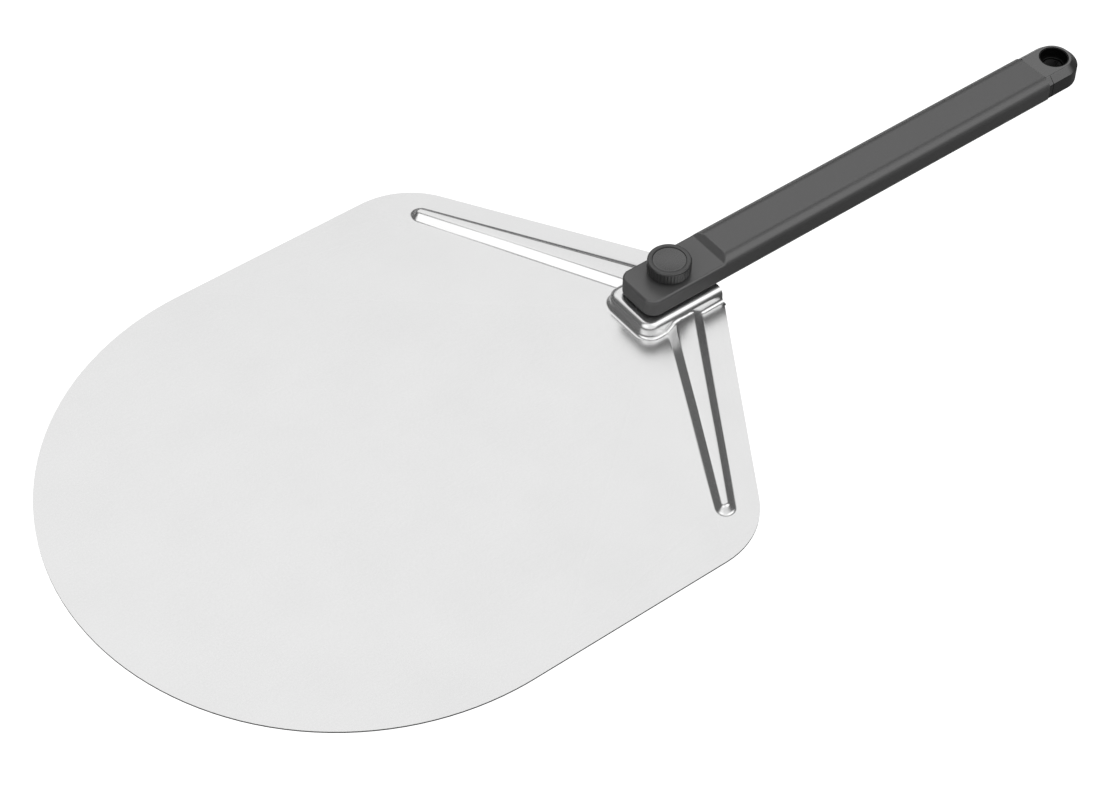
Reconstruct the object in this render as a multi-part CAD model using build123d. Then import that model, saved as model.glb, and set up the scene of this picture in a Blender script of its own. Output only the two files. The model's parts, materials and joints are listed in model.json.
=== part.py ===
"""Folding pizza peel: pressed steel blade, swivelling handle and a knurled clamping knob.

Millimetres.  +X runs along the handle, +Z is up and the blade's underside is z = 0.
Pieces are laid out from the end of the blade's rounded front (x = 0) and then shifted, so
that the origin is the centre of the whole peel's footprint.
"""
from build123d import *
import math
import os

os.makedirs("parts", exist_ok=True)

# ---------------------------------------------------------------- blade
blade_width = 305.0          # a 12 inch blade
front_depth = 150.6          # how far the rounded front stands ahead of the parallel sides
side_length = 139.2          # parallel side, to the sharp corner of the shoulder
shoulder_radius = 44.3
rear_angle = 57.7            # rear edges to the handle's line, degrees
tail_half_width = 21.0       # half of the short rear edge under the handle
tail_tab = 0.9               # the short rear edge stands this far behind the rear corners
sheet = 1.0                  # stainless sheet

# ---------------------------------------------------------------- pressed boss and ribs
boss_height = 8.0            # top plate above the blade
boss_half_width = 18.1       # at the foot
boss_front = 28.0            # foot ahead of the pivot
boss_corner = 7.6            # plan radius of the front corners at the foot
boss_lean = 0.5              # how far a wall leans in over its height
boss_top_round = 3.8
rib_height = 3.9
rib_inset = 12.5             # rear foot of a rib from the blade's rear edge
rib_start = 20.1             # tip of a rib from the shoulder's sharp corner
rib_tip_width = 10.0
rib_root_width = 21.4        # where it runs into the boss
rib_lean_tip = 3.2           # how far the rib's walls lean in at its tip
rib_lean_root = 5.0          # and at the boss
rib_top_round = 2.4
seam_round = 2.0             # blend of the ribs into the boss
foot_round = 2.3             # blend of the boss and ribs into the flat sheet
boss_wall = 0.95             # pressed wall, measured level at the foot of the boss
rib_wall = 0.5               # and at the foot of a rib, whose slopes are gentler
mouth_round = 0.8            # underside edge of the pressed hollow

# ---------------------------------------------------------------- pivot
pivot_from_tail = 21.9
bolt_radius = 3.0            # M6 cup-head bolt, thread as a plain cylinder
bolt_head_radius = 8.0
bolt_head_height = 3.0
neck_over_shank = 0.4        # the square neck is this much wider than the shank
neck_clearance = 0.05
backing_thick = 2.0
backing_length = 30.0
backing_width = 26.0
backing_corner = 3.0
washer_radius = 12.0
handle_gap = 1.2             # handle above the boss, filled by the thrust washer
slip = 0.1                   # flat gap between pieces that turn on each other
running = 0.1                # radial running clearance

# ---------------------------------------------------------------- handle
nose_from_pivot = 22.6
seam_from_pivot = 256.3
handle_half_width = 14.0
handle_height = 13.6
nose_height = 10.8
top_half_width = 9.5         # flat of the main top face
nose_corner = 7.0            # plan radius of the nose
crease_round = 7.0           # soft crease between the main top and its sloping shoulders
side_round = 4.2             # shoulders and nose into the upright sides
edge_round = 1.5             # rim of the nose's top and both edges of the step
step_from_pivot = 26.0       # foot of the step up to the main top
step_run = 3.7
wall = 2.2
cover_thick = 2.0
cover_round = 1.4
rail_height = 1.5            # locating rails on the cover, inside the shell's walls
rail_thick = 1.4
fit = 0.1                    # side clearance of what slips inside the shell

core_thick = 3.0             # flat steel bar inside the handle
core_half_width = 9.0
core_front = 15.0            # ahead of the pivot
core_length = 243.0
sleeve_wall = 1.9
flange_radius = 7.5
flange_thick = 1.0
spring_outer = 7.4
spring_seat = 8.0            # radius of the recess for the spring washer
spring_depth = 1.0
spring_thick = 0.35
spring_inner = 3.8

screw_count = 4
screw_first = 45.0           # first cover screw from the pivot
screw_pitch = 58.0
screw_radius = 1.25
screw_head_radius = 2.9
screw_head_height = 1.7
screw_length = 10.0
screw_hole = 1.7             # clearance hole in the cover and the core
post_radius = 3.4
cross_slot = 0.6
cross_span = 3.0
cross_depth = 1.1

# ---------------------------------------------------------------- end cap
cap_half_width = 13.5
cap_chamfer = 3.8
cap_edge_round = 0.8
cap_length = 29.0
groove_from_seam = 3.0       # fine line round the cap's shoulders and sides
groove_width = 0.4
groove_depth = 0.35
cap_bottom_round = 1.4
spigot_length = 22.0
hang_radius = 8.3            # recess of the hanging hole, which takes the liner
ledge_depth = 5.2            # top of the liner's flange below the cap's top
liner_wall = 0.7
liner_flange = 1.2
liner_sink = 0.3             # liner's rim below the cap's top
bore_radius = 5.5            # narrower lower half of the hanging hole
bore_round = 0.8

# ---------------------------------------------------------------- knob
knob_radius = 11.5
knob_height = 6.8
knob_rim_round = 0.9
knurl_count = 40
knurl_radius = 0.5
knurl_top = 1.3              # plain rim above the knurling
knob_cap_radius = 8.8
knob_cap_depth = 1.2
knob_cap_thick = 0.9
knob_cap_dish = 0.35
knob_cap_fit = 0.05
collar_radius = 9.5
collar_height = 2.0
insert_wall = 1.52
insert_above = 3.0           # insert above the knob's lower face
clip_room_radius = 6.0
thread_clearance = 0.08
knob_lift = 1.0              # one turn of the M6 thread
clip_spare = 0.2             # left above the insert when the knob is fully raised
clip_thick = 0.55
clip_groove_depth = 0.4
clip_radius = 5.0
bolt_above_clip = 0.45
bolt_end_chamfer = 0.4

# ---------------------------------------------------------------- places worked out from them
half_width = blade_width / 2
rear_run = (half_width - tail_half_width) / math.tan(math.radians(rear_angle))
rear_corner_x = side_length + rear_run
tail_x = rear_corner_x + tail_tab
pivot_x = tail_x - pivot_from_tail
nose_x = pivot_x - nose_from_pivot
seam_x = pivot_x + seam_from_pivot
end_x = seam_x + cap_length
centre_x = (end_x - front_depth) / 2

bolt_neck = 2 * bolt_radius + neck_over_shank
clip_groove = bolt_radius - clip_groove_depth
sleeve_radius = bolt_radius + running + sleeve_wall
insert_radius = bolt_radius + thread_clearance + insert_wall

boss_top = sheet + boss_height
handle_bottom = boss_top + handle_gap
cover_top = handle_bottom + cover_thick
core_top = cover_top + core_thick
nose_top = handle_bottom + nose_height
handle_top = handle_bottom + handle_height
spring_z = nose_top - spring_depth
knob_bottom = nose_top + collar_height
knob_top = knob_bottom + knob_height
insert_bottom = nose_top + 4 * slip
insert_top = knob_bottom + insert_above
clip_z = insert_top + knob_lift + clip_spare
bolt_top = clip_z + clip_thick + bolt_above_clip


# ---------------------------------------------------------------- small helpers
def disc(radius, z_low, z_high, x=0.0, y=0.0):
    """An upright cylinder between two heights."""
    return Pos(x, y, z_low) * Cylinder(
        radius, z_high - z_low, align=(Align.CENTER, Align.CENTER, Align.MIN)
    )


def ring(outer, inner, z_low, z_high, x=0.0, y=0.0):
    return disc(outer, z_low, z_high, x, y) - disc(inner, z_low - 1, z_high + 1, x, y)


def block(x_low, x_high, half_y, z_low, z_high):
    """A box that is symmetric about the handle's line."""
    size = (x_high - x_low, 2 * half_y, z_high - z_low)
    return Pos(x_low, 0, z_low) * Box(*size, align=(Align.MIN, Align.CENTER, Align.MIN))


def loop(*curves):
    """A flat face inside curves that join end to end."""
    return Face(Wire([edge for curve in curves for edge in curve.edges()]))


def prism(face, z_low, z_high, taper=0.0):
    return extrude(Pos(0, 0, z_low) * face, z_high - z_low, dir=(0, 0, 1), taper=taper)


def revolved(points, x):
    """A solid turned about an upright axis from (radius, height) points."""
    section = Plane.XZ * make_face(Polyline(*points, close=True))
    return Pos(x, 0, 0) * revolve(section, Axis.Z)


def cross_recess(x, z):
    """The driver's cross in a screw head that faces down."""
    slots = block(x - cross_span / 2, x + cross_span / 2, cross_slot / 2, z - 1, z + cross_depth)
    return slots + Pos(x, 0, 0) * Rot(0, 0, 90) * Pos(-x, 0, 0) * slots


def countersunk_screw(x):
    """A self-tapping screw driven up through the cover."""
    head_top = handle_bottom + screw_head_height
    tip = handle_bottom + screw_length
    points = [
        (0, handle_bottom), (screw_head_radius, handle_bottom), (screw_radius, head_top),
        (screw_radius, tip - screw_radius), (0, tip),
    ]
    return revolved(points, x) - cross_recess(x, handle_bottom)


def screw_way(x, low_radius, z_high):
    """Countersink and clearance hole for one screw."""
    head = [
        (0, handle_bottom - 1), (screw_head_radius + 1, handle_bottom - 1),
        (screw_head_radius, handle_bottom),
        (screw_radius, handle_bottom + screw_head_height),
        (0, handle_bottom + screw_head_height),
    ]
    return revolved(head, x) + disc(low_radius, handle_bottom, z_high, x)


# ---------------------------------------------------------------- blade
def blade_outline():
    front = EllipticalCenterArc((0, 0), front_depth, half_width, start_angle=90, arc_size=180)
    sides = Polyline(
        (0, -half_width), (side_length, -half_width), (rear_corner_x, -tail_half_width),
        (tail_x, -tail_half_width), (tail_x, tail_half_width),
        (rear_corner_x, tail_half_width), (side_length, half_width), (0, half_width),
    )
    face = loop(front, sides)
    shoulders = [v for v in face.vertices() if abs(v.X - side_length) < 0.01]
    return fillet(shoulders, shoulder_radius)


def boss_form(inset, z_low, top_round):
    """The raised channel that carries the pivot; its rear end runs past the tail."""
    front = pivot_x - boss_front + inset
    half = boss_half_width - inset
    length = 2 * (tail_x - front)
    plan = Pos(front, 0) * Rectangle(length, 2 * half, align=(Align.MIN, Align.CENTER))
    corners = [v for v in plan.vertices() if v.X < front + 1]
    plan = fillet(corners, boss_corner - inset)
    lean = math.degrees(math.atan2(boss_lean, boss_height))
    form = prism(plan, z_low, z_low + boss_height, lean)
    form = fillet(form.faces().sort_by(Axis.Z)[-1].outer_wire().edges(), top_round)
    return form & block(front - 1, tail_x, half_width, z_low, z_low + boss_height)


def rib_section(length, lean_tip, lean_root):
    """Plan of a rib in its own frame: x along its rear foot, y towards the blade's front."""
    low_tip = (0, -lean_tip)
    low_root = (length, -lean_root)
    high_root = (length, lean_root - rib_root_width)
    high_tip = (0, lean_tip - rib_tip_width)
    nose = (-(rib_tip_width / 2 - lean_tip), -rib_tip_width / 2)
    rear = Line(low_tip, low_root)
    root = Line(low_root, high_root)
    front = Line(high_root, high_tip)
    return loop(rear, root, front, ThreePointArc(high_tip, nose, low_tip))


def rib_form(inset, z_low):
    """One rib beside +Y, from its rounded tip to the middle of the boss."""
    turn = math.radians(rear_angle)
    corner_x = side_length + rib_start * math.cos(turn) - rib_inset * math.sin(turn)
    corner_y = half_width - rib_start * math.sin(turn) - rib_inset * math.cos(turn)
    length = (corner_y - 4) / math.sin(turn)
    foot = rib_section(length, inset, inset)
    top = rib_section(length, rib_lean_tip + inset, rib_lean_root + inset)
    form = loft([Pos(0, 0, z_low) * foot, Pos(0, 0, z_low + rib_height) * top], ruled=True)
    rim = form.faces().sort_by(Axis.Z)[-1].outer_wire().edges()
    form = fillet([e for e in rim if e.center().X < length - 1], rib_top_round)
    return Pos(corner_x, corner_y, 0) * Rot(0, 0, -rear_angle) * form


def pressed_form(boss_inset, rib_inset_level, top_round, z_low):
    """The boss with its two ribs, blended where a rib runs into the boss's wall."""
    rib = rib_form(rib_inset_level, z_low)
    form = boss_form(boss_inset, z_low, top_round) + rib + mirror(rib, Plane.XZ)
    foot_y = boss_half_width - boss_inset
    seams = []
    for edge in form.edges():
        box = edge.bounding_box()
        middle = edge.center()
        on_wall = foot_y - boss_lean < abs(middle.Y) < foot_y
        in_length = pivot_x - boss_front + boss_corner / 2 < middle.X < tail_x - 0.5
        rises = z_low + 0.5 < box.max.Z < z_low + rib_height + 0.05
        if on_wall and in_length and rises:
            seams.append(edge)
    return fillet(seams, seam_round)


def inner_edges(body, outline, z):
    """Edges of a body at one height, apart from those on the blade's outline."""
    wire = (Pos(0, 0, z) * outline).face().outer_wire()
    flat = [e for e in body.edges() if abs(e.bounding_box().min.Z - z) < 0.01]
    flat = [e for e in flat if abs(e.bounding_box().max.Z - z) < 0.01]
    return [e for e in flat if wire.distance_to(Vertex(*(e @ 0.5))) > 0.2]


def blade():
    """One pressed sheet: flat blade, two ribs and the hollow boss."""
    outline = blade_outline()
    body = prism(outline, 0, sheet) + pressed_form(0.0, 0.0, boss_top_round, sheet)
    body = fillet(inner_edges(body, outline, sheet), foot_round)
    body = body - pressed_form(boss_wall, rib_wall, boss_top_round - sheet, 0.0)
    body = fillet(inner_edges(body, outline, 0.0), mouth_round)
    neck = bolt_neck / 2 + neck_clearance
    return body - block(pivot_x - neck, pivot_x + neck, neck, 0, boss_top + 1)


def backing_plate():
    """Square-holed plate welded under the boss; it keeps the bolt from turning."""
    plate = RectangleRounded(backing_length, backing_width, backing_corner)
    solid = prism(Pos(pivot_x, 0) * plate, boss_height - backing_thick, boss_height)
    neck = bolt_neck / 2 + neck_clearance
    return solid - block(pivot_x - neck, pivot_x + neck, neck, 0, boss_top)


def pivot_bolt():
    """Cup-head bolt with a square neck, pointing up."""
    head_top = boss_height - backing_thick
    low = head_top - bolt_head_height
    dome_radius = (bolt_head_radius ** 2 + bolt_head_height ** 2) / (2 * bolt_head_height)
    dome = Pos(pivot_x, 0, low + dome_radius) * Sphere(dome_radius)
    head = dome & disc(bolt_head_radius, low, head_top, pivot_x)
    neck = block(pivot_x - bolt_neck / 2, pivot_x + bolt_neck / 2, bolt_neck / 2, head_top, boss_top)
    shank = disc(bolt_radius, boss_top, bolt_top, pivot_x)
    shank = chamfer(shank.faces().sort_by(Axis.Z)[-1].edges(), bolt_end_chamfer)
    groove = ring(bolt_radius + 1, clip_groove, clip_z, clip_z + clip_thick, pivot_x)
    return head + neck + shank - groove


def retaining_clip():
    """E-clip that stops the knob at one turn."""
    clip = ring(clip_radius, clip_groove, clip_z, clip_z + clip_thick, pivot_x)
    opening = block(pivot_x, pivot_x + 2 * clip_radius, clip_groove * 0.8, clip_z - 1, clip_z + 2)
    return clip - opening


def thrust_washer():
    return ring(washer_radius, bolt_radius + running, boss_top, handle_bottom - slip, pivot_x)


# ---------------------------------------------------------------- handle
def handle_plan(inset, x_high):
    """Plan of the handle from its rounded nose to x_high, drawn in from the sides by inset."""
    low = nose_x + inset
    half = handle_half_width - inset
    plan = Pos(low, 0) * Rectangle(x_high - low, 2 * half, align=(Align.MIN, Align.CENTER))
    return fillet([v for v in plan.vertices() if v.X < low + 1], nose_corner - inset)


def handle_form(inset, x_high, z_low):
    """The handle's outer form, or the same form drawn in by inset, cut off at z_low."""
    high = handle_top - inset
    low_top = nose_top - inset
    half = handle_half_width - inset
    flat = top_half_width - inset / 2
    body = prism(handle_plan(inset, x_high), z_low, high)
    across = make_face(Polyline(
        (-half, z_low), (half, z_low), (half, low_top), (flat, high), (-flat, high),
        (-half, low_top), close=True,
    ))
    across = fillet([v for v in across.vertices() if abs(v.Y - high) < 0.01], crease_round - inset)
    across = fillet([v for v in across.vertices() if abs(v.Y - low_top) < 0.01], side_round - inset)
    body = body & extrude(Plane.YZ.offset(nose_x - 1) * across, x_high - nose_x + 2)
    front = nose_x + inset
    along = make_face(Polyline(
        (front, z_low), (x_high + 1, z_low), (x_high + 1, high), (front + half - flat, high),
        (front, low_top), close=True,
    ))
    nose_edge = [v for v in along.vertices() if v.X < front + 0.01 and v.Y > z_low + 0.01]
    along = fillet(nose_edge, side_round - inset)
    body = body & extrude(Plane.XZ * along, 2 * half, both=True)
    foot = pivot_x + step_from_pivot + inset
    step = make_face(Polyline(
        (nose_x - 1, low_top), (foot, low_top), (foot + step_run, high),
        (foot + step_run, high + 1), (nose_x - 1, high + 1), close=True,
    ))
    return body - extrude(Plane.XZ * step, 2 * half, both=True)


def screw_places():
    return [pivot_x + screw_first + i * screw_pitch for i in range(screw_count)]


def cap_screw_x():
    return seam_x - spigot_length / 2


def handle_shell():
    """Moulded upper shell, open below, with a screw post over each cover screw."""
    outer = handle_form(0.0, seam_x, cover_top)
    above = [e for e in outer.edges() if e.bounding_box().min.Z > nose_top - 0.05]
    above = [e for e in above if e.bounding_box().max.X < seam_x - 0.1]
    outer = fillet(above, edge_round)
    shell = outer - handle_form(wall, seam_x + 1, cover_top)
    inner_top = handle_top - wall
    for x in screw_places():
        shell = shell + disc(post_radius, core_top, inner_top + 0.5, x)
        shell = shell - disc(screw_radius, 0, handle_bottom + screw_length, x)
    flange_top = core_top + flange_thick
    shell = shell + disc(spring_seat + wall / 2, flange_top, nose_top - wall / 2, pivot_x)
    shell = shell - disc(sleeve_radius, 0, handle_top, pivot_x)
    return shell - disc(spring_seat, spring_z, handle_top, pivot_x)


def handle_cover():
    """Bottom cover with locating rails; it closes the shell."""
    plate = prism(handle_plan(0.0, seam_x), handle_bottom, cover_top)
    low = [
        e for e in plate.faces().sort_by(Axis.Z)[0].outer_wire().edges()
        if e.center().X < seam_x - 1
    ]
    cover = fillet(low, cover_round)
    rail_out = handle_half_width - wall - fit
    rail_low = nose_x + nose_corner
    rail_high = seam_x - spigot_length - 1
    rails = block(rail_low, rail_high, rail_out, cover_top, cover_top + rail_height)
    rails = rails - block(0, seam_x, rail_out - rail_thick, 0, handle_top)
    cover = cover + rails
    for x in screw_places() + [cap_screw_x()]:
        cover = cover - screw_way(x, screw_hole, handle_top)
    return cover - disc(sleeve_radius, 0, handle_top, pivot_x)


def handle_core():
    """Flat steel bar that carries the load from the pivot along the handle."""
    bar = SlotOverall(core_length, 2 * core_half_width)
    bar = prism(Pos(pivot_x - core_front + core_length / 2, 0) * bar, cover_top, core_top)
    for x in screw_places():
        bar = bar - disc(screw_hole, 0, handle_top, x)
    return bar - disc(sleeve_radius, 0, handle_top, pivot_x)


def pivot_sleeve():
    """Steel sleeve that takes the knob's clamping force past the moulded shell."""
    tube = disc(sleeve_radius, handle_bottom, spring_z, pivot_x)
    flange = disc(flange_radius, core_top, core_top + flange_thick, pivot_x)
    return tube + flange - disc(bolt_radius + running, 0, handle_top, pivot_x)


def spring_washer():
    """Coned spring washer in its recess under the knob's collar."""
    low = spring_z
    high = nose_top - spring_thick
    points = [
        (spring_inner, high), (spring_outer, low), (spring_outer, low + spring_thick),
        (spring_inner, high + spring_thick),
    ]
    return revolved(points, pivot_x)


def cover_screws():
    return Compound([countersunk_screw(x).solid() for x in screw_places()])


def cap_screw():
    return countersunk_screw(cap_screw_x())


def cap_rim(body, z):
    """Edges round the cap's outside at one height, leaving out the flat face at the seam."""
    flat = [e for e in body.edges() if abs(e.bounding_box().min.Z - z) < 0.01]
    flat = [e for e in flat if abs(e.bounding_box().max.Z - z) < 0.01]
    return [e for e in flat if e.center().X > seam_x + 0.01]


def cap_groove(x_low, x_high):
    """A thin slice round the cap's sloping shoulders and sides; the top stays whole."""
    half = cap_half_width - groove_depth
    flat = cap_half_width - cap_chamfer - groove_depth / 2
    kept = make_face(Polyline(
        (-half, handle_bottom - 1), (half, handle_bottom - 1),
        (half, handle_top - cap_chamfer - groove_depth / 2), (flat, handle_top),
        (flat, handle_top + 1), (-flat, handle_top + 1), (-flat, handle_top),
        (-half, handle_top - cap_chamfer - groove_depth / 2), close=True,
    ))
    ring_slice = block(x_low, x_high, half_width, handle_bottom - 0.5, handle_top + 0.5)
    return ring_slice - extrude(Plane.YZ.offset(x_low - 1) * kept, x_high - x_low + 2)


def bore_edges(body, z):
    """The bore's edge at one height."""
    circles = body.edges().filter_by(GeomType.CIRCLE)
    rim = [e for e in circles if abs(e.radius - bore_radius) < 0.01]
    return [e for e in rim if abs(e.center().Z - z) < 0.01]


def end_cap():
    """Rounded end with the hanging hole and a spigot inside the shell."""
    round_x = end_x - cap_half_width
    plan = block(seam_x, round_x, cap_half_width, handle_bottom, handle_top)
    body = plan + disc(cap_half_width, handle_bottom, handle_top, round_x)
    body = chamfer(cap_rim(body, handle_top), cap_chamfer)
    shoulder_z = handle_top - cap_chamfer
    body = fillet(cap_rim(body, handle_top) + cap_rim(body, shoulder_z), cap_edge_round)
    body = fillet(cap_rim(body, handle_bottom), cap_bottom_round)
    groove_x = seam_x + groove_from_seam
    body = body - cap_groove(groove_x, groove_x + groove_width)
    spigot = handle_form(wall + fit, seam_x + 1, cover_top)
    spigot = spigot & block(seam_x - spigot_length, seam_x + 1, half_width, 0, handle_top)
    body = body + spigot
    body = body - disc(hang_radius, handle_top - ledge_depth - liner_flange, handle_top + 1, round_x)
    body = body - disc(bore_radius, 0, handle_top, round_x)
    body = fillet(bore_edges(body, handle_bottom), bore_round)
    return body - disc(screw_radius, 0, handle_bottom + screw_length, cap_screw_x())


def hang_eyelet():
    """Flanged liner pressed into the hanging hole's recess."""
    round_x = end_x - cap_half_width
    ledge = handle_top - ledge_depth
    wall_ring = ring(hang_radius, hang_radius - liner_wall, ledge, handle_top - liner_sink, round_x)
    liner = wall_ring + ring(hang_radius, bore_radius, ledge - liner_flange, ledge, round_x)
    return fillet(bore_edges(liner, ledge), bore_round)


# ---------------------------------------------------------------- knob
def knob_body():
    """Moulded knob with a knurled side, a seat for the top disc and room for the clip."""
    body = disc(knob_radius, knob_bottom, knob_top, pivot_x)
    body = fillet(body.faces().sort_by(Axis.Z)[-1].edges(), knob_rim_round)
    cap_floor = knob_top - knob_cap_depth
    body = body - disc(knob_cap_radius, cap_floor, knob_top + 1, pivot_x)
    body = body - disc(clip_room_radius, insert_top, knob_top, pivot_x)
    body = body - disc(insert_radius, 0, knob_top, pivot_x)
    groove_top = knob_top - knurl_top
    grooves = []
    for i in range(knurl_count):
        turn = 2 * math.pi * i / knurl_count
        x = pivot_x + (knob_radius + knurl_radius / 3) * math.cos(turn)
        y = (knob_radius + knurl_radius / 3) * math.sin(turn)
        grooves.append(disc(knurl_radius, knob_bottom - 1, groove_top, x, y))
    return body - grooves


def knob_cap():
    """Slightly dished disc that covers the clip."""
    low = knob_top - knob_cap_depth
    high = low + knob_cap_thick
    radius = knob_cap_radius - knob_cap_fit
    bowl = (radius ** 2 + knob_cap_dish ** 2) / (2 * knob_cap_dish)
    return disc(radius, low, high, pivot_x) - Pos(pivot_x, 0, high + bowl - knob_cap_dish) * Sphere(bowl)


def knob_insert():
    """Brass insert with the thread, moulded into the knob."""
    return ring(insert_radius, bolt_radius + thread_clearance, insert_bottom, insert_top, pivot_x)


def knob_collar():
    """Plain collar that stays still on the handle while the knob turns."""
    low = nose_top + slip
    return ring(collar_radius, insert_radius + running, low, knob_bottom - slip, pivot_x)


PIECES = (
    blade, backing_plate, pivot_bolt, retaining_clip, thrust_washer,
    handle_shell, handle_cover, handle_core, pivot_sleeve, spring_washer, cover_screws,
    end_cap, hang_eyelet, cap_screw,
    knob_body, knob_cap, knob_insert, knob_collar,
)

for piece in PIECES:
    shape = Pos(-centre_x, 0, 0) * piece()
    export_step(shape, f"parts/{piece.__name__}.step")
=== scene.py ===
"""Looks for the folding pizza peel: pressed steel blade, moulded handle and knurled knob.

Metres, in the peel's own frame: +X along the handle, +Z up, blade lying on z = 0.
"""
import bpy
import bmesh
import json
import math
from collections import namedtuple
from mathutils import Matrix, Vector


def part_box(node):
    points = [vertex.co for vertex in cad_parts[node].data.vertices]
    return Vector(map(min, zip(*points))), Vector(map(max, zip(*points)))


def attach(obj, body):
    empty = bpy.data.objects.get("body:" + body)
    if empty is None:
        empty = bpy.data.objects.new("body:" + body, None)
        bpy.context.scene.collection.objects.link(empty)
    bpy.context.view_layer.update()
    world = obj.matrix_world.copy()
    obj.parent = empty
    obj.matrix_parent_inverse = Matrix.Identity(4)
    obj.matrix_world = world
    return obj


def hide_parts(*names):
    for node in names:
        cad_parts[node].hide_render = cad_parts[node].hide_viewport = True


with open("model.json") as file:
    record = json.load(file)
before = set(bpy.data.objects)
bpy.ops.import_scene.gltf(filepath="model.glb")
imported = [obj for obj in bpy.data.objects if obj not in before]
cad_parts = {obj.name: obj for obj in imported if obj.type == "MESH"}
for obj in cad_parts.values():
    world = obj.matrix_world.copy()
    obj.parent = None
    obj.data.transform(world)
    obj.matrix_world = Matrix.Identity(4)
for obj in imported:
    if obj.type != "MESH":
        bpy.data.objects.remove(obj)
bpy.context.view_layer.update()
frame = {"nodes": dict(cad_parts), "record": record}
nodes = frame["nodes"]
scene = bpy.context.scene
MM = 0.001
WELD = 0.001 * MM            # points nearer than this are one point
ON_PLANE = 0.01 * MM         # points nearer to a plane than this lie on it


# ---------------------------------------------------------------- shader nodes
def ramp(tree, source, start, end, low=0.0, high=1.0, curve="LINEAR"):
    """Maps a value's range from start to end onto low to high, and holds it at both ends."""
    node = tree.nodes.new("ShaderNodeMapRange")
    node.interpolation_type = curve
    for socket, value in zip(("From Min", "From Max", "To Min", "To Max"), (start, end, low, high)):
        node.inputs[socket].default_value = value
    tree.links.new(source, node.inputs["Value"])
    return node.outputs["Result"]


def combined(tree, operation, *sources):
    """Several values added or multiplied."""
    result = sources[0]
    for source in sources[1:]:
        node = tree.nodes.new("ShaderNodeMath")
        node.operation = operation
        tree.links.new(result, node.inputs[0])
        tree.links.new(source, node.inputs[1])
        result = node.outputs[0]
    return result


def coordinates(tree, kind):
    """The place on an object, or the direction in a world, that a pattern is drawn on."""
    return tree.nodes.new("ShaderNodeTexCoord").outputs[kind]


def split(tree, place):
    """The X, Y and Z of a place, as three outputs."""
    node = tree.nodes.new("ShaderNodeSeparateXYZ")
    tree.links.new(place, node.inputs["Vector"])
    return node.outputs


# ---------------------------------------------------------------- materials
class Finish:
    """One procedural material: a Principled shader with object coordinates feeding its patterns."""

    def __init__(self, name, **sockets):
        self.material = bpy.data.materials.new(name)
        self.material.use_nodes = True
        self.tree = self.material.node_tree
        self.shader = self.tree.nodes["Principled BSDF"]
        for socket, value in sockets.items():
            self.shader.inputs[socket.replace("_", " ")].default_value = value
        self.place = coordinates(self.tree, "Object")

    def link(self, source, target):
        self.tree.links.new(source, target)

    def noise(self, size, detail=2.0, roughness=0.5, place=None):
        """Noise whose blotches are about size metres across."""
        node = self.tree.nodes.new("ShaderNodeTexNoise")
        node.inputs["Scale"].default_value = 1 / size
        node.inputs["Detail"].default_value = detail
        node.inputs["Roughness"].default_value = roughness
        self.link(place or self.place, node.inputs["Vector"])
        return node.outputs["Fac"]

    def lines(self, per_metre, detail, roughness):
        """Noise drawn out into lines, with so many blotches to the metre along each axis."""
        mapping = self.tree.nodes.new("ShaderNodeMapping")
        mapping.inputs["Scale"].default_value = per_metre
        self.link(self.place, mapping.inputs["Vector"])
        return self.noise(1.0, detail, roughness, mapping.outputs["Vector"])

    def spread(self, pattern, low, high, start=0.3, end=0.7):
        """Maps a pattern's middle range onto low to high."""
        return ramp(self.tree, pattern, start, end, low, high)

    def height(self):
        """Level above the surface that the peel lies on."""
        return split(self.tree, self.place)["Z"]

    def add(self, *sources):
        return combined(self.tree, "ADD", *sources)

    def colour(self, pattern, first, second, start=0.3, end=0.7):
        """Base colour that runs from first to second with a pattern.

        Among the mix node's sockets, 6 and 7 are its two colours and output 2 is the mixed one.
        """
        node = self.tree.nodes.new("ShaderNodeMix")
        node.data_type = "RGBA"
        self.link(self.spread(pattern, 0.0, 1.0, start, end), node.inputs["Factor"])
        node.inputs[6].default_value = (*first, 1)
        node.inputs[7].default_value = (*second, 1)
        self.link(node.outputs[2], self.shader.inputs["Base Color"])

    def rough(self, source):
        self.link(source, self.shader.inputs["Roughness"])

    def bump(self, height, depth):
        """Relief of the given depth in metres."""
        node = self.tree.nodes.new("ShaderNodeBump")
        node.inputs["Strength"].default_value = 1.0
        node.inputs["Distance"].default_value = depth
        self.link(height, node.inputs["Height"])
        self.link(node.outputs["Normal"], self.shader.inputs["Normal"])


def grey(value):
    return (value, value, value)


def satin_steel():
    """Stainless sheet: fine rolled grain along the handle's line, slightly uneven shine."""
    finish = Finish("blade_steel", Metallic=1.0)
    grain = finish.lines((60, 2600, 2600), 3.0, 0.6)
    speckle = finish.noise(0.9 * MM, 1.0)
    cloud = finish.noise(40 * MM, 3.0)
    finish.colour(speckle, grey(0.79), grey(0.81))
    finish.rough(finish.add(finish.spread(cloud, 0.23, 0.26), finish.spread(grain, -0.01, 0.01)))
    finish.bump(finish.add(grain, speckle), 0.0004 * MM)
    return finish.material


def plated_steel():
    """Zinc plating, a little uneven in colour and shine."""
    finish = Finish("plated_steel", Metallic=1.0)
    finish.colour(finish.noise(6 * MM, 4.0, 0.6), (0.55, 0.55, 0.54), (0.68, 0.68, 0.66))
    finish.rough(finish.spread(finish.noise(1.5 * MM), 0.32, 0.46))
    finish.bump(finish.noise(0.5 * MM), 0.01 * MM)
    return finish.material


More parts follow.
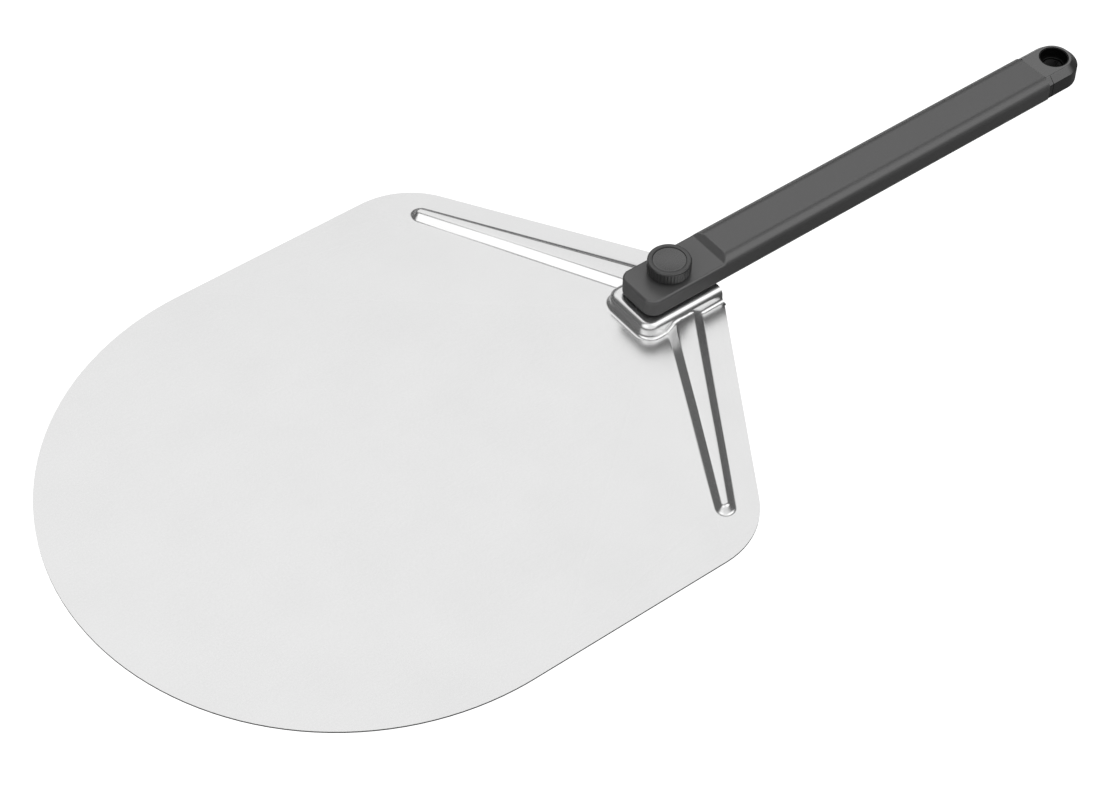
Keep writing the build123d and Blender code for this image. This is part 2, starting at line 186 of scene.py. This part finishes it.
def dark_steel(name, low, high, roughness):
    """Blackened or black-plated steel, worn a little lighter in patches."""
    finish = Finish(name, Metallic=1.0)
    cloud = finish.noise(2 * MM, 3.0, 0.6)
    finish.colour(cloud, grey(low), grey(high), 0.35, 0.75)
    finish.rough(finish.spread(cloud, roughness - 0.06, roughness + 0.08))
    finish.bump(finish.noise(0.4 * MM), 0.008 * MM)
    return finish.material


def turned_brass():
    """Brass with the fine rings that a lathe leaves."""
    finish = Finish("insert_brass", Metallic=1.0)
    rings = finish.lines((100, 100, 4000), 1.0, 0.5)
    finish.colour(rings, (0.68, 0.48, 0.2), (0.78, 0.58, 0.27))
    finish.rough(finish.spread(rings, 0.24, 0.36))
    finish.bump(rings, 0.01 * MM)
    return finish.material


def moulded_plastic(name, tone, roughness, level, ior=1.5, side=None):
    """Black-grey plastic with the fine even grain of an eroded mould.

    side is (low level, high level, extra roughness): below the high level the mould's grain
    gets coarser, down to the low level.
    """
    finish = Finish(name, Specular_IOR_Level=level, IOR=ior)
    fine = finish.noise(0.35 * MM, 2.0, 0.6)
    cloud = finish.noise(25 * MM, 3.0)
    finish.colour(cloud, grey(tone * 0.97), grey(tone * 1.03))
    shine = finish.add(
        finish.spread(cloud, -0.02, 0.02), finish.spread(fine, roughness - 0.03, roughness + 0.03)
    )
    if side:
        low, high, extra = side
        shine = finish.add(shine, finish.spread(finish.height(), extra, 0.0, low, high))
    finish.rough(shine)
    finish.bump(fine, 0.03 * MM)
    return finish.material


def gloss_plastic():
    """Polished moulding with faint flow marks under a clear gloss."""
    finish = Finish(
        "cap_plastic", Specular_IOR_Level=1.0, Coat_Weight=0.65, Coat_Roughness=0.08, Coat_IOR=1.5
    )
    flow = finish.noise(9 * MM)
    finish.colour(flow, grey(0.022), grey(0.026))
    finish.rough(finish.spread(flow, 0.10, 0.14))
    finish.bump(finish.noise(2.5 * MM), 0.004 * MM)
    return finish.material


finishes = {
    "blade_steel": satin_steel(),
    "plated_steel": plated_steel(),
    "spring_steel": dark_steel("spring_steel", 0.16, 0.26, 0.34),
    "screw_steel": dark_steel("screw_steel", 0.10, 0.20, 0.36),
    "washer_nylon": moulded_plastic("washer_nylon", 0.035, 0.42, 0.4),
    "handle_plastic": moulded_plastic(
        "handle_plastic", 0.087, 0.33, 0.85, side=(18.0 * MM, 20.5 * MM, 0.32)
    ),
    "cap_plastic": gloss_plastic(),
    # The eyelet is a real black liner, but its near-black tone and weak shine go beyond the plastic's own
    # colour: partly painted shade in the end cap's hanging-hole recess.
    "eyelet_plastic": moulded_plastic("eyelet_plastic", 0.004, 0.3, 0.12),
    "knob_plastic": moulded_plastic("knob_plastic", 0.024, 0.30, 1.0),
    "collar_plastic": moulded_plastic("collar_plastic", 0.02, 0.4, 0.3),
    "insert_brass": turned_brass(),
}
# The lid is the knob plastic made lighter in tone: painted light on the knob's top, standing in for the
# light that falls on it from above.
painted_light_lid_finish = moulded_plastic("knob_lid_painted_light", 0.040, 0.28, 1.0, ior=1.55)

slots = {part["node"]: part["material_slot"] for part in frame["record"]["subparts"]}
bodies = {
    node: body for body, members in frame["record"]["behaviour"]["bodies"].items() for node in members
}


# ---------------------------------------------------------------- helpers
def merged(node):
    """The node's own shape with its facets joined."""
    bm = bmesh.new()
    bm.from_mesh(nodes[node].data)
    bmesh.ops.remove_doubles(bm, verts=bm.verts, dist=WELD)
    return bm


def shown(bm, node, sharp=28, finish=None):
    """Puts a mesh in place of a node, on its body and in its finish, smooth but at its sharp edges.

    sharp is the least angle of an edge that stays crisp, in degrees.
    """
    for face in bm.faces:
        face.smooth = True
    for edge in bm.edges:
        edge.smooth = edge.is_manifold and edge.calc_face_angle(0) < math.radians(sharp)
    mesh = bpy.data.meshes.new(node + "_finished")
    bm.to_mesh(mesh)
    bm.free()
    mesh.materials.append(finish or finishes[slots[node]])
    piece = bpy.data.objects.new(node + "_finished", mesh)
    scene.collection.objects.link(piece)
    weighted = piece.modifiers.new("even shading", "WEIGHTED_NORMAL")
    weighted.keep_sharp = True
    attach(piece, bodies[node])
    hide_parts(node)


def lathed(profile, centre, steps):
    """A closed (radius, height) outline turned about an upright axis."""
    bm = bmesh.new()
    verts = [bm.verts.new((centre.x + radius, centre.y, height)) for radius, height in profile]
    edges = [bm.edges.new((first, second)) for first, second in zip(verts, verts[1:] + verts[:1])]
    bmesh.ops.spin(
        bm, geom=verts + edges, cent=(centre.x, centre.y, 0), axis=(0, 0, 1),
        angle=math.tau, steps=steps, use_merge=True, use_duplicate=False,
    )
    bmesh.ops.remove_doubles(bm, verts=bm.verts, dist=WELD)
    bmesh.ops.recalc_face_normals(bm, faces=bm.faces)
    return bm


Round = namedtuple("Round", "centre radius low high")


def round_of(node):
    """Centre, radius, lowest and highest level of a round node."""
    low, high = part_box(node)
    return Round((low + high) / 2, (high.x - low.x) / 2, low.z, high.z)


def arc(centre_radius, centre_height, radius, start, end, steps):
    """Points of a quarter round for a lathed outline, angles in degrees from level."""
    points = []
    for step in range(steps + 1):
        angle = math.radians(start + (end - start) * step / steps)
        points.append((centre_radius + radius * math.cos(angle), centre_height + radius * math.sin(angle)))
    return points


# ---------------------------------------------------------------- handle
PARTING_BEVEL = 0.6 * MM     # eased edge that shows as the parting line
NOSE_CORNERS = 8.9 * MM      # from the handle's front to just past the rounds of its corners
CRISP = math.radians(40)     # an edge that turns by more is a real corner of the moulding


def handle_cover():
    """Lower shell; its upper edge is eased where it meets the upper shell, so a fine line shows.

    The edge along the end cap stays as it is.
    """
    bm = merged("handle_cover")
    front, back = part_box("handle_cover")
    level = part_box("handle_shell")[0].z
    rim = []
    for edge in bm.edges:
        upper = all(abs(vert.co.z - level) < ON_PLANE for vert in edge.verts)
        outside = max(abs(vert.co.y) for vert in edge.verts) > back.y - ON_PLANE
        at_nose = max(vert.co.x for vert in edge.verts) < front.x + NOSE_CORNERS
        at_cap = min(vert.co.x for vert in edge.verts) > back.x - ON_PLANE
        crisp = edge.is_manifold and edge.calc_face_angle(0) > CRISP
        if upper and crisp and (outside or at_nose) and not at_cap:
            rim.append(edge)
    bmesh.ops.bevel(
        bm, geom=rim, offset=PARTING_BEVEL, offset_type="OFFSET", segments=1, profile=0.5,
        affect="EDGES", material=-1, clamp_overlap=True,
    )
    shown(bm, "handle_cover")


# ---------------------------------------------------------------- knob
TURNED_SHARP = 40            # least angle of a crisp edge on the turned pieces, in degrees
TURNED_STEPS = 128
FLUTES = 40
FLUTE_STEPS = 8
FLUTE_DEPTHS = (0.38, 0.26, 0.02, 0.0, 0.0, 0.0, 0.02, 0.26)  # mm, from the middle of a flute on


def knob_body():
    """Knurled grip with a plain rim, hollow for the insert, the clip and the lid."""
    knob = round_of("knob_body")
    insert = round_of("knob_insert")
    cap = round_of("knob_cap")
    rim_round = 0.9 * MM
    foot_chamfer = 0.3 * MM
    mouth_chamfer = 0.35 * MM
    flute_run_out = 0.35 * MM
    lid_seat = cap.radius + 0.05 * MM
    clip_room = insert.radius + 1.4 * MM
    flute_top = knob.high - 1.3 * MM
    flute_rows = [
        knob.low + flute_run_out, knob.low + 1.6 * MM, knob.low + 3.2 * MM, flute_top - flute_run_out,
    ]
    profile = [(insert.radius, knob.low), (knob.radius - foot_chamfer, knob.low)]
    profile += [(knob.radius, knob.low + foot_chamfer)]
    profile += [(knob.radius, row) for row in flute_rows]
    profile += [(knob.radius, flute_top), (knob.radius, knob.high - rim_round)]
    profile += arc(knob.radius - rim_round, knob.high - rim_round, rim_round, 15, 90, 5)
    profile += [(lid_seat + mouth_chamfer, knob.high), (lid_seat + 0.08 * MM, knob.high - 0.1 * MM)]
    profile += [(lid_seat, knob.high - mouth_chamfer), (lid_seat, cap.low), (clip_room, cap.low)]
    profile += [(clip_room, insert.high), (insert.radius, insert.high)]
    bm = lathed(profile, knob.centre, FLUTES * FLUTE_STEPS)
    near = 0.1 * MM
    for vert in bm.verts:
        out = Vector((vert.co.x - knob.centre.x, vert.co.y - knob.centre.y, 0))
        in_flute = flute_rows[0] - near < vert.co.z < flute_rows[-1] + near
        if in_flute and out.length > knob.radius - near:
            step = math.atan2(out.y, out.x) / math.tau * FLUTES * FLUTE_STEPS
            depth = FLUTE_DEPTHS[round(step) % FLUTE_STEPS] * MM
            vert.co -= out.normalized() * depth
    shown(bm, "knob_body", TURNED_SHARP)


def knob_cap():
    """Lid with an eased edge and a shallow dish."""
    cap = round_of("knob_cap")
    dish = 0.55 * MM
    dish_rows = 10
    ease = 0.25 * MM
    corner = 0.07 * MM
    across = cap.radius - ease
    profile = [(0, cap.low), (cap.radius, cap.low), (cap.radius, cap.high - ease)]
    profile += [(cap.radius - corner, cap.high - corner), (across, cap.high)]
    for row in range(dish_rows - 1, -1, -1):
        share = row / dish_rows
        profile.append((across * share, cap.high - dish * (1 - share * share)))
    # The lid takes the lighter copy of the knob plastic: painted light on the knob's top.
    shown(lathed(profile, cap.centre, TURNED_STEPS), "knob_cap", TURNED_SHARP, painted_light_lid_finish)


def knob_collar():
    """Plain ring under the grip, with both outer edges eased."""
    collar = round_of("knob_collar")
    hole = round_of("knob_insert").radius + 0.1 * MM
    ease = 0.25 * MM
    profile = [(hole, collar.low), (collar.radius - ease, collar.low)]
    profile += [(collar.radius, collar.low + ease), (collar.radius, collar.high - ease)]
    profile += [(collar.radius - ease, collar.high), (hole, collar.high)]
    shown(lathed(profile, collar.centre, TURNED_STEPS), "knob_collar", TURNED_SHARP)


remade = {
    "handle_cover": handle_cover, "knob_body": knob_body, "knob_cap": knob_cap,
    "knob_collar": knob_collar,
}
for make in remade.values():
    make()
for node in nodes:
    if node not in remade:
        shown(merged(node), node)


# ---------------------------------------------------------------- floor, light and camera
FLOOR_HALF = 6.0             # half of the sheet's side
FLOOR_DROP = 0.2 * MM        # kept this far below the blade, so that the two don't flicker
DARK_UP_TO = 0.015           # on the near side of this Y the floor lights the peel only a little
PALE_FROM = 0.08             # beyond this Y it lights it fully


def floor():
    """A plain pale sheet, overexposed to white where it is seen directly."""
    bm = bmesh.new()
    bmesh.ops.create_grid(bm, x_segments=1, y_segments=1, size=FLOOR_HALF)
    mesh = bpy.data.meshes.new("floor")
    bm.to_mesh(mesh)
    bm.free()
    sheet = bpy.data.objects.new("floor", mesh)
    sheet.location.z = -FLOOR_DROP
    scene.collection.objects.link(sheet)
    material = bpy.data.materials.new("floor")
    material.use_nodes = True
    tree = material.node_tree
    tree.nodes.clear()
    output = tree.nodes.new("ShaderNodeOutputMaterial")
    mix = tree.nodes.new("ShaderNodeMixShader")
    matt = tree.nodes.new("ShaderNodeBsdfDiffuse")
    across = split(tree, coordinates(tree, "Object"))["Y"]
    tree.links.new(ramp(tree, across, DARK_UP_TO, PALE_FROM, 0.14, 0.9), matt.inputs["Color"])
    bright = tree.nodes.new("ShaderNodeEmission")
    bright.inputs["Strength"].default_value = 1.2
    ray = tree.nodes.new("ShaderNodeLightPath")
    tree.links.new(ray.outputs["Is Camera Ray"], mix.inputs["Fac"])
    tree.links.new(matt.outputs["BSDF"], mix.inputs[1])
    tree.links.new(bright.outputs["Emission"], mix.inputs[2])
    tree.links.new(mix.outputs["Shader"], output.inputs["Surface"])
    mesh.materials.append(material)


FROM_NEAR_SIDE = (0.25, 1, 0)        # level, away from the near panel's side
HIGH_LAMP = (0.41, -0.40, 0.82)      # directions of the two small lamps
LOW_LAMP = (-0.68, -0.15, 0.71)


def studio():
    """Soft light from a panel over each side of the peel and two small lamps, in a darker room.

    Each light is a product of soft steps over the direction that it comes from.
    """
    world = bpy.data.worlds.new("studio")
    world.use_nodes = True
    scene.world = world
    tree = world.node_tree
    direction = coordinates(tree, "Generated")
    parts = split(tree, direction)

    def towards(aim):
        """How far a direction points along another one."""
        node = tree.nodes.new("ShaderNodeVectorMath")
        node.operation = "DOT_PRODUCT"
        node.inputs[1].default_value = aim
        tree.links.new(direction, node.inputs[0])
        return node.outputs["Value"]

    def step(source, start, end, low=0.0, high=1.0):
        return ramp(tree, source, start, end, low, high, "SMOOTHSTEP")

    from_near_side = towards(FROM_NEAR_SIDE)
    far_panel = combined(
        tree, "MULTIPLY",
        step(parts["Y"], 0.18, 0.34), step(parts["X"], -0.5, -0.05),
        step(parts["Z"], 0.36, 0.68, 0.0, 0.90),
    )
    near_panel = combined(
        tree, "MULTIPLY",
        step(from_near_side, -0.10, 0.10, 0.82, 0.0), step(parts["Z"], 0.22, 0.48),
    )
    both_lamps = combined(
        tree, "ADD", step(towards(HIGH_LAMP), 0.87, 0.94), step(towards(LOW_LAMP), 0.92, 0.97)
    )
    lamps = combined(tree, "MULTIPLY", step(from_near_side, -0.10, 0.10, 0.45, 0.0), both_lamps)
    room = step(parts["Z"], 0.0, 1.0, 0.12, 0.16)
    background = tree.nodes["Background"]
    background.inputs["Color"].default_value = (1, 1, 1, 1)
    light = combined(tree, "ADD", far_panel, near_panel, lamps, room)
    tree.links.new(light, background.inputs["Strength"])


def camera():
    """Looks down on the peel from beyond the blade's left side."""
    azimuth, elevation, roll = (math.radians(angle) for angle in (-37.94, 47.84, 0.80))
    target = Vector((-0.05675, -0.02070, 0.0010))
    distance = 1.4217
    back = Vector((
        math.sin(azimuth) * math.cos(elevation),
        -math.cos(azimuth) * math.cos(elevation),
        math.sin(elevation),
    ))
    right = Vector((math.cos(azimuth), math.sin(azimuth), 0))
    up = back.cross(right)
    turned_right = right * math.cos(roll) + up * math.sin(roll)
    turned_up = up * math.cos(roll) - right * math.sin(roll)
    axes = Matrix((turned_right, turned_up, back)).transposed().to_4x4()
    data = bpy.data.cameras.new("camera")
    data.lens = 92.68
    data.sensor_width = 36.0
    data.clip_start = 0.05
    eye = bpy.data.objects.new("camera", data)
    eye.matrix_world = Matrix.Translation(target + back * distance) @ axes
    scene.collection.objects.link(eye)
    scene.camera = eye


floor()
studio()
camera()
scene.view_settings.view_transform = "Standard"
